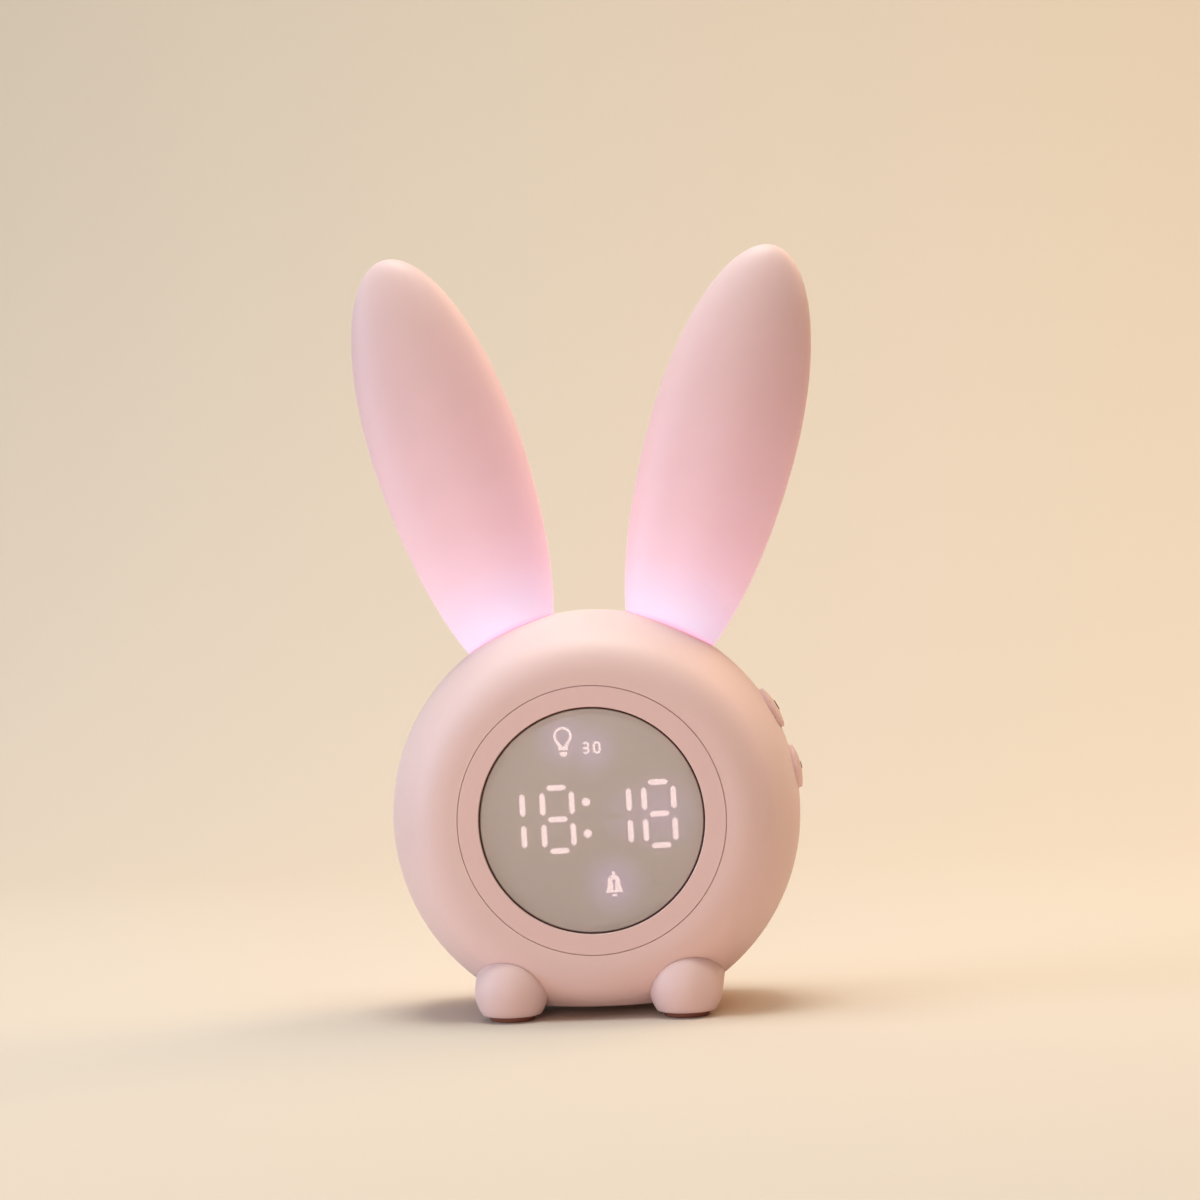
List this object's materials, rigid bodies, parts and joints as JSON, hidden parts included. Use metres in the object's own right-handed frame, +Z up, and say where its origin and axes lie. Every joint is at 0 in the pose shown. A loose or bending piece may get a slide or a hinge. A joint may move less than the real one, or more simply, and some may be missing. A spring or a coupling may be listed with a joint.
{
  "type": "kids alarm clock with night light",
  "caption": "Round rabbit-shaped bedside clock with lit digits behind a mirrored lens, glowing upright ears, rounded paws and side push buttons.",
  "frame": {"origin": "on the floor, at the middle of the object's footprint and of its width", "axes": "+Z up, the display faces -Y, +X is the right-hand side as the display is read"},
  "size_m": [0.1246, 0.062, 0.2041],
  "materials": {
    "shell_pink": "soft-touch matte, moulded ABS",
    "bezel_pink": "soft-touch matte, moulded ABS",
    "ear_translucent": "milky translucent, fine satin",
    "lens_tint": "half-mirrored taupe tint",
    "seal_dark": "closed-cell foam tape",
    "pad_rubber": "matte rubber",
    "mask_black": "matte",
    "segment_diffuser": "milky diffuser, lit",
    "board_green": "solder mask",
    "led_white": "clear domed package",
    "screw_steel": "zinc plated",
    "clamp_white": "plain moulded",
    "chip_black": "moulded epoxy",
    "switch_grey": "plain moulded",
    "plunger_black": "plain moulded",
    "connector_cream": "plain moulded nylon",
    "parts_mixed": "mixed electronic parts",
    "socket_metal": "nickel plated",
    "switch_metal": "pressed steel",
    "slider_brown": "moulded, ribbed",
    "speaker_steel": "pressed steel",
    "magnet_grey": "coated ferrite",
    "cone_paper": "pressed paper",
    "gasket_foam": "open foam",
    "battery_wrap": "shrink film",
    "tape_white": "foam tape",
    "lead_cream": "PVC sleeve",
    "lead_red": "PVC sleeve",
    "lead_black": "PVC sleeve"
  },
  "bodies": {
    "clock_body": {"front_shell": "shell_pink", "rear_cover": "shell_pink", "bezel_ring": "bezel_pink", "lens_seal": "seal_dark", "display_lens": "lens_tint", "display_mask": "mask_black", "display_segments": "segment_diffuser", "display_icons": "segment_diffuser", "display_board": "board_green", "display_leds": "led_white", "bezel_screws": "screw_steel", "display_board_screws": "screw_steel", "ear_left": "ear_translucent", "ear_right": "ear_translucent", "ear_clamp_left": "clamp_white", "ear_clamp_right": "clamp_white", "ear_light_board_left": "connector_cream", "ear_light_board_right": "connector_cream", "ear_leds_left": "led_white", "ear_leds_right": "led_white", "ear_clamp_screws": "screw_steel", "paw_left": "shell_pink", "paw_right": "shell_pink", "paw_pad_left": "pad_rubber", "paw_pad_right": "pad_rubber", "heel_left": "shell_pink", "heel_right": "shell_pink", "heel_pad_left": "pad_rubber", "heel_pad_right": "pad_rubber", "foot_screws": "screw_steel", "light_switch": "switch_grey", "alarm_switch": "switch_grey", "button_board": "board_green", "button_board_screws": "screw_steel", "main_board": "board_green", "main_board_screws": "screw_steel", "clock_chip": "chip_black", "board_parts": "parts_mixed", "board_connectors": "connector_cream", "usb_socket": "socket_metal", "power_switch": "switch_metal", "speaker_frame": "speaker_steel", "speaker_magnet": "magnet_grey", "speaker_gasket": "gasket_foam", "battery": "battery_wrap", "battery_tape": "tape_white", "battery_lead": "lead_red", "speaker_lead": "lead_black", "display_lead": "lead_cream", "button_lead": "lead_cream", "ear_lead_left": "lead_cream", "ear_lead_right": "lead_cream", "cover_screws": "screw_steel"},
    "light_button": {"light_button": "bezel_pink", "light_switch_plunger": "plunger_black"},
    "alarm_button": {"alarm_button": "bezel_pink", "alarm_switch_plunger": "plunger_black"},
    "power_slider": {"power_slider": "slider_brown"},
    "speaker_cone": {"speaker_cone": "cone_paper"}
  },
  "joints": [
    {"name": "light_button_press", "type": "slide", "parent": "clock_body", "child": "light_button", "axis": [-0.9385, 0, -0.3453], "range_m": [0, 0.0006], "stiffness_N_per_m": 1500, "springref_m": -0.0004},
    {"name": "alarm_button_press", "type": "slide", "parent": "clock_body", "child": "alarm_button", "axis": [-0.9385, 0, -0.3453], "range_m": [0, 0.0006], "stiffness_N_per_m": 1500, "springref_m": -0.0004},
    {"name": "power_slider_slide", "type": "slide", "parent": "clock_body", "child": "power_slider", "axis": [1, 0, 0], "range_m": [0, 0.003]},
    {"name": "speaker_cone_travel", "type": "slide", "parent": "clock_body", "child": "speaker_cone", "axis": [0, 1, 0], "range_m": [-0.0003, 0.0003], "stiffness_N_per_m": 1000}
  ]
}
